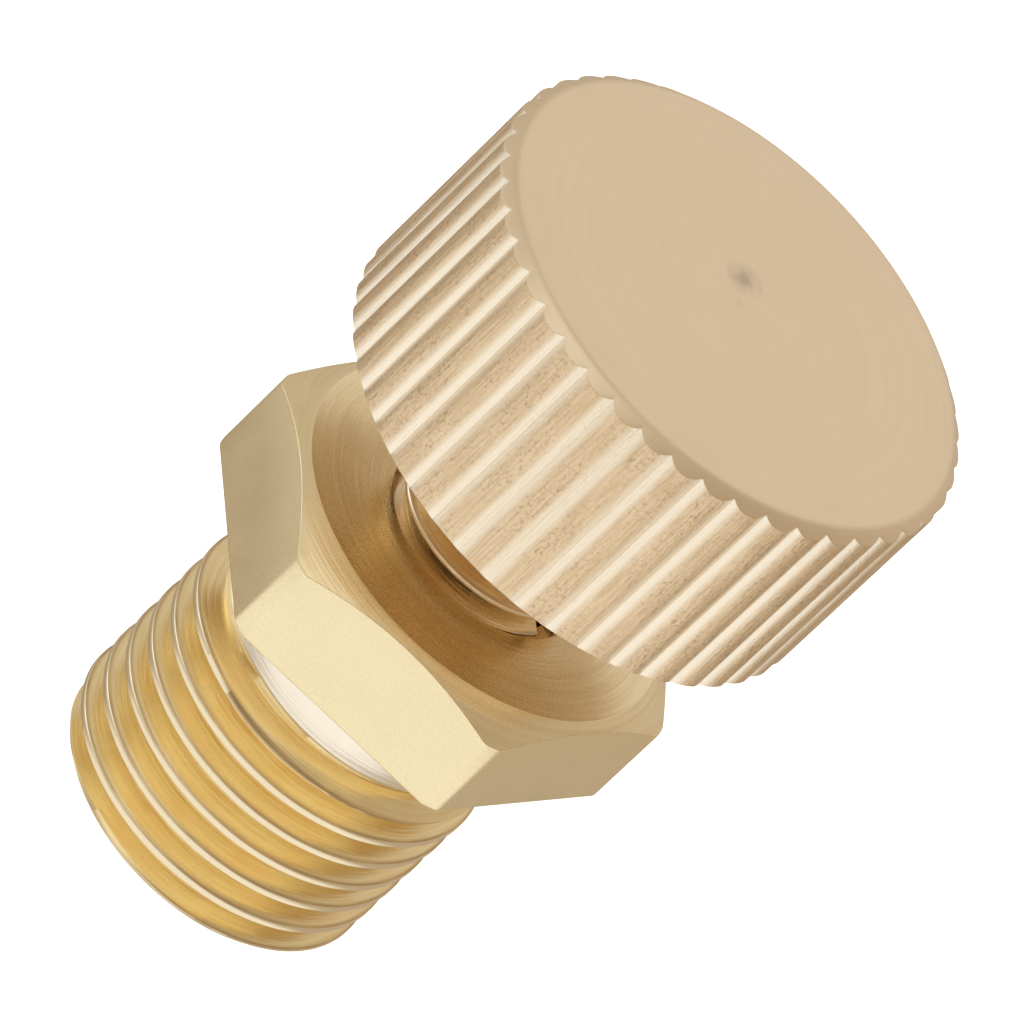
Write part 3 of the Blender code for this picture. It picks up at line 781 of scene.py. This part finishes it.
def turned_brass(name, colour, darker, roughness, line_depth, smudge=None):
    """Turned faces: fine rings, and a small dirty smudge at SMUDGE_AT where it has a colour."""
    finish = Finish(name, 1.0, roughness)
    lines = turning_lines(finish, *FINE_LINES)
    rings = turning_lines(finish, *COARSE_LINES)
    cloud = finish.noise(finish.position, scale=0.35, detail=4.0)
    grain = finish.noise(finish.position, scale=14.0)
    tint = finish.math("ADD", finish.math("MULTIPLY", lines, 0.3), finish.math("MULTIPLY", rings, 0.4))
    tint = finish.math("ADD", tint, finish.math("MULTIPLY", cloud, 0.3))
    base = finish.mix(finish.ramp(tint, *MOTTLE), darker, colour)
    if smudge:
        patchy = finish.noise(finish.position, scale=1.6, detail=4.0, roughness=0.6)
        away = finish.vector("DISTANCE", finish.position, SMUDGE_AT)
        near = finish.ramp(away, *SMUDGE_REACH, to_low=1.0, to_high=0.0)
        base = finish.mix(finish.math("MULTIPLY", near, finish.ramp(patchy, 0.25, 0.6)), base, smudge)
    finish.set("Base Color", base)
    finish.set("Roughness", finish.ramp(grain, *GRAIN, roughness - 0.015, roughness + 0.02))
    fine = finish.bump(grain, 0.0005 * MM, strength=0.6)
    ringed = finish.bump(rings, 3 * line_depth * MM, under=fine)
    finish.set("Normal", finish.bump(lines, line_depth * MM, under=ringed))
    return finish.material


def milled_brass(name, colour, darker, roughness):
    """The hexagon's flats: a fine sandy grain."""
    finish = Finish(name, 1.0, roughness)
    grain = finish.noise(finish.position, scale=9.0, detail=4.0, roughness=0.7)
    cloud = finish.noise(finish.position, scale=0.5, detail=3.0)
    finish.set("Base Color", finish.mix(finish.ramp(grain, *GRAIN), darker, colour))
    finish.set("Roughness", finish.ramp(cloud, *GRAIN, roughness - 0.04, roughness + 0.04))
    finish.set("Normal", finish.bump(grain, 0.013 * MM, strength=0.8))
    return finish.material


def thread_brass(name, outer, colour, darker, crest, painted_shade, roughness, neck=None):
    """Turned brass: crests partly rubbed and partly painted pale as a highlight, a thin line of painted
    shade beside them, and a neck painted pale as a glare.
    """
    finish = Finish(name, 1.0, roughness)
    radius, angle, z = finish.around_axis()
    streaks = turning_lines(finish, *THREAD_LINES)
    cloud = finish.noise(finish.position, scale=0.6, detail=3.0)
    tint = finish.math("ADD", finish.math("MULTIPLY", streaks, 0.6), finish.math("MULTIPLY", cloud, 0.4))
    base = finish.mix(finish.ramp(tint, *MOTTLE), darker, colour)
    # A thin line of painted shade on the flanks just inside the crest, mottled by the cloud noise
    beside = finish.ramp(radius, outer - PAINTED_SHADE_BAND[0], outer - PAINTED_SHADE_BAND[1])
    painted_shade_share = finish.math("MULTIPLY", beside, finish.ramp(cloud, 0.3, 0.6, to_low=0.5, to_high=0.9))
    base = finish.mix(painted_shade_share, base, painted_shade)
    # The crest's pale tone: partly rubbed wear, partly a painted highlight
    pale = finish.ramp(radius, outer - CREST_BAND[0], outer - CREST_BAND[1])
    base = finish.mix(pale, base, crest)
    # Above the neck's height the colour turns pale: a painted glare
    if neck:
        base = finish.mix(finish.ramp(z, neck - NECK_BLEND, neck + NECK_BLEND), base, NECK_PAINTED_GLARE)
    finish.set("Base Color", base)
    finish.set("Roughness", finish.ramp(cloud, *GRAIN, roughness - 0.03, roughness + 0.05))
    finish.set("Normal", finish.bump(streaks, 0.016 * MM, strength=0.8))
    return finish.material


def knurled_brass(name, colour, darker, valley_highlight, pits, roughness):
    """The knurl: rough, specked crests drawn along the teeth, between valleys painted pale as
    highlights.
    """
    finish = Finish(name, 1.0, roughness)
    radius, angle, z = finish.around_axis()
    drawn_at = finish.scaled((angle, radius, z), DRAWN_SCALE)
    drawn = finish.noise(drawn_at, 1.0, detail=3.0, roughness=0.6)
    speck_at = finish.scaled((angle, radius, z), SPECK_SCALE)
    speck = finish.noise(speck_at, 1.0, detail=3.0, roughness=0.7)
    cloud = finish.noise(finish.position, scale=0.45, detail=3.0)
    crest = finish.ramp(radius, KNOB_RADIUS - KNURL_BAND[0], KNOB_RADIUS - KNURL_BAND[1])
    base = finish.mix(finish.ramp(drawn, *MOTTLE), darker, colour)
    pitted = finish.math("MULTIPLY", finish.ramp(speck, *SPECKS), crest)
    pitted = finish.math("MULTIPLY", pitted, finish.ramp(cloud, 0.35, 0.6, to_low=0.2, to_high=0.9))
    base = finish.mix(pitted, base, pits)
    # Towards the valleys the colour turns to the pale valley colour: a painted highlight
    finish.set("Base Color", finish.mix(crest, valley_highlight, base))
    finish.set("Roughness", finish.ramp(crest, 0.0, 1.0, roughness - 0.03, roughness))
    fine = finish.bump(speck, 0.03 * MM, strength=0.7)
    finish.set("Normal", finish.bump(drawn, 0.03 * MM, strength=0.8, under=fine))
    return finish.material


def plain_finish(name, colour, other, metallic, roughness, scale, depth):
    """Grain and slight mottling for the small pieces."""
    finish = Finish(name, metallic, roughness)
    grain = finish.noise(finish.position, scale, detail=3.0)
    cloud = finish.noise(finish.position, scale=0.7, detail=3.0)
    finish.set("Base Color", finish.mix(finish.ramp(cloud, *GRAIN), colour, other))
    finish.set("Roughness", finish.ramp(grain, *GRAIN, roughness - 0.05, roughness + 0.08))
    finish.set("Normal", finish.bump(grain, depth * MM, strength=0.6))
    return finish.material


# ---------------------------------------------------------------- light, floor and camera


def direction(azimuth, elevation):
    azimuth, elevation = math.radians(azimuth), math.radians(elevation)
    level = math.cos(elevation)
    return Vector((math.cos(azimuth) * level, math.sin(azimuth) * level, math.sin(elevation)))


# (azimuth, elevation, tightness, colour) of each soft light round the valve; the last is a dark flag
SOFT_LIGHTS = (
    (84, 34, 5.0, (0.35, 0.39, 0.45)),
    (-150, 64, 12.0, (0.68, 0.74, 0.80)),
    (168, 6, 13.0, (1.00, 1.15, 1.30)),
    (34, 3, 1.5, (0.06, 0.04, 0.025)),
    (150, -50, 8.0, (-0.10, -0.11, -0.11)),
)
AMBIENT = (0.48, 0.415, 0.335)
# The bright table in front of the valve and below it: direction, colour, and where and how it ends
TABLE = (-90, -60)
TABLE_COLOUR = (0.56, 0.62, 0.68)
TABLE_EDGE = 0.47
TABLE_EDGE_WIDTH = 0.08
# The floor, in metres, and how it is lit
FLOOR_SIZE = 3.0
FLOOR_DROP = 0.0001
FLOOR_COLOUR = (0.9, 0.9, 0.9, 1.0)
FLOOR_GLOW = 0.85


def light_the_studio():
    world = bpy.data.worlds.new("studio")
    bpy.context.scene.world = world
    world.use_nodes = True
    nodes, links = world.node_tree.nodes, world.node_tree.links
    place = nodes.new("ShaderNodeTexCoord").outputs["Generated"]

    def towards(azimuth, elevation):
        dot = nodes.new("ShaderNodeVectorMath")
        dot.operation = "DOT_PRODUCT"
        links.new(place, dot.inputs[0])
        dot.inputs[1].default_value = direction(azimuth, elevation)
        return dot.outputs["Value"]

    def add_light(share, colour, total):
        scaled = nodes.new("ShaderNodeVectorMath")
        scaled.operation = "MULTIPLY_ADD"
        links.new(share, scaled.inputs[0])
        scaled.inputs[1].default_value = colour
        if total is None:
            scaled.inputs[2].default_value = AMBIENT
        else:
            links.new(total, scaled.inputs[2])
        return scaled.outputs[0]

    table = nodes.new("ShaderNodeMapRange")
    table.interpolation_type = "SMOOTHSTEP"
    links.new(towards(*TABLE), table.inputs["Value"])
    table.inputs["From Min"].default_value = TABLE_EDGE - TABLE_EDGE_WIDTH
    table.inputs["From Max"].default_value = TABLE_EDGE + TABLE_EDGE_WIDTH
    total = add_light(table.outputs[0], TABLE_COLOUR, None)
    for azimuth, elevation, tightness, colour in SOFT_LIGHTS:
        falloff = nodes.new("ShaderNodeMath")
        falloff.operation = "MULTIPLY_ADD"
        links.new(towards(azimuth, elevation), falloff.inputs[0])
        falloff.inputs[1].default_value = tightness
        falloff.inputs[2].default_value = -tightness
        lobe = nodes.new("ShaderNodeMath")
        lobe.operation = "EXPONENT"
        links.new(falloff.outputs[0], lobe.inputs[0])
        total = add_light(lobe.outputs[0], colour, total)
    links.new(total, nodes["Background"].inputs["Color"])


def add_floor():
    """A white floor under the threaded end, lit from within like a product table."""
    shape = bmesh.new()
    bmesh.ops.create_grid(shape, x_segments=1, y_segments=1, size=FLOOR_SIZE)
    finish = Finish("white_floor", metallic=0.0, roughness=0.6)
    finish.shader.inputs["Base Color"].default_value = FLOOR_COLOUR
    finish.shader.inputs["Emission Color"].default_value = (1.0, 1.0, 1.0, 1.0)
    finish.shader.inputs["Emission Strength"].default_value = FLOOR_GLOW
    floor = add_object("floor", shape, [finish.material])
    floor.location.z = -FLOOR_DROP
    floor.visible_glossy = False


def add_camera():
    data = bpy.data.cameras.new("camera")
    data.lens = CAMERA_LENS
    data.sensor_width = CAMERA_SENSOR
    data.clip_start, data.clip_end = CAMERA_CLIP
    camera = bpy.data.objects.new("camera", data)
    bpy.context.scene.collection.objects.link(camera)
    back = direction(CAMERA_AZIMUTH, CAMERA_ELEVATION)
    camera.location = AIM + back * CAMERA_DISTANCE
    camera.rotation_mode = "QUATERNION"
    upright = (-back).to_track_quat("-Z", "Y")
    camera.rotation_quaternion = upright @ Quaternion((0, 0, 1), math.radians(CAMERA_ROLL))
    bpy.context.scene.camera = camera


# ---------------------------------------------------------------- the valve

body_turned = turned_brass(
    "body_turned", colour=(0.90, 0.75, 0.47), darker=(0.80, 0.63, 0.36), roughness=0.26, line_depth=0.006
)
body_flats = milled_brass(
    "body_flats", colour=(0.96, 0.83, 0.55), darker=(0.87, 0.73, 0.45), roughness=0.33
)
# Thread finishes: the crest colour is partly a painted highlight, the dark brown after it is a thin line
# of painted shade, and the body's neck is painted pale as a glare
body_thread = thread_brass(
    "body_thread", PIPE_RADIUS, colour=(0.94, 0.79, 0.46), darker=(0.86, 0.66, 0.34),
    crest=(0.88, 0.75, 0.52), painted_shade=(0.50, 0.34, 0.16), roughness=0.24, neck=UNDERCUT_BOTTOM
)
spindle_turned = thread_brass(
    "spindle_turned", SCREW_RADIUS, colour=(0.90, 0.74, 0.48), darker=(0.76, 0.56, 0.33),
    crest=(0.92, 0.80, 0.62), painted_shade=(0.50, 0.36, 0.22), roughness=0.24
)
# The knob's pale valley colour is a painted highlight
knob_side = knurled_brass(
    "knob_side", colour=(0.82, 0.64, 0.42), darker=(0.71, 0.53, 0.33), valley_highlight=(0.97, 0.87, 0.71),
    pits=(0.42, 0.30, 0.18), roughness=0.43
)
knob_top = turned_brass(
    "knob_top", colour=(0.83, 0.675, 0.47), darker=(0.80, 0.645, 0.445), roughness=0.36,
    line_depth=0.0006, smudge=(0.55, 0.43, 0.31)
)
steel = plain_finish(
    "ground_steel", colour=(0.66, 0.66, 0.64), other=(0.55, 0.55, 0.54),
    metallic=1.0, roughness=0.25, scale=12.0, depth=0.004
)
black = plain_finish(
    "black_oxide", colour=(0.035, 0.035, 0.04), other=(0.07, 0.065, 0.06),
    metallic=0.9, roughness=0.42, scale=10.0, depth=0.008
)
ptfe = plain_finish(
    "machined_ptfe", colour=(0.88, 0.88, 0.86), other=(0.80, 0.80, 0.77),
    metallic=0.0, roughness=0.45, scale=6.0, depth=0.006
)
nylon = plain_finish(
    "moulded_nylon", colour=(0.30, 0.50, 0.72), other=(0.24, 0.42, 0.62),
    metallic=0.0, roughness=0.5, scale=8.0, depth=0.004
)
rubber = plain_finish(
    "nitrile", colour=(0.02, 0.02, 0.02), other=(0.04, 0.04, 0.04),
    metallic=0.0, roughness=0.6, scale=9.0, depth=0.006
)

make_body(body_turned, body_flats, body_thread)
make_spindle(spindle_turned)
make_knob(knob_side, knob_top)
make_retainer(body_turned)
make_seat(ptfe)
make_set_screw(black)
for name, finish in {
    "needle": steel,
    "seat_washer": steel,
    "stop_ring": steel,
    "needle_clip": steel,
    "thrust_ball": steel,
    "lock_strip": nylon,
    "seat_o_ring": rubber,
}.items():
    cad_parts[name].data.materials.clear()
    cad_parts[name].data.materials.append(finish)

light_the_studio()
add_floor()
add_camera()
bpy.context.scene.view_settings.view_transform = "Standard"
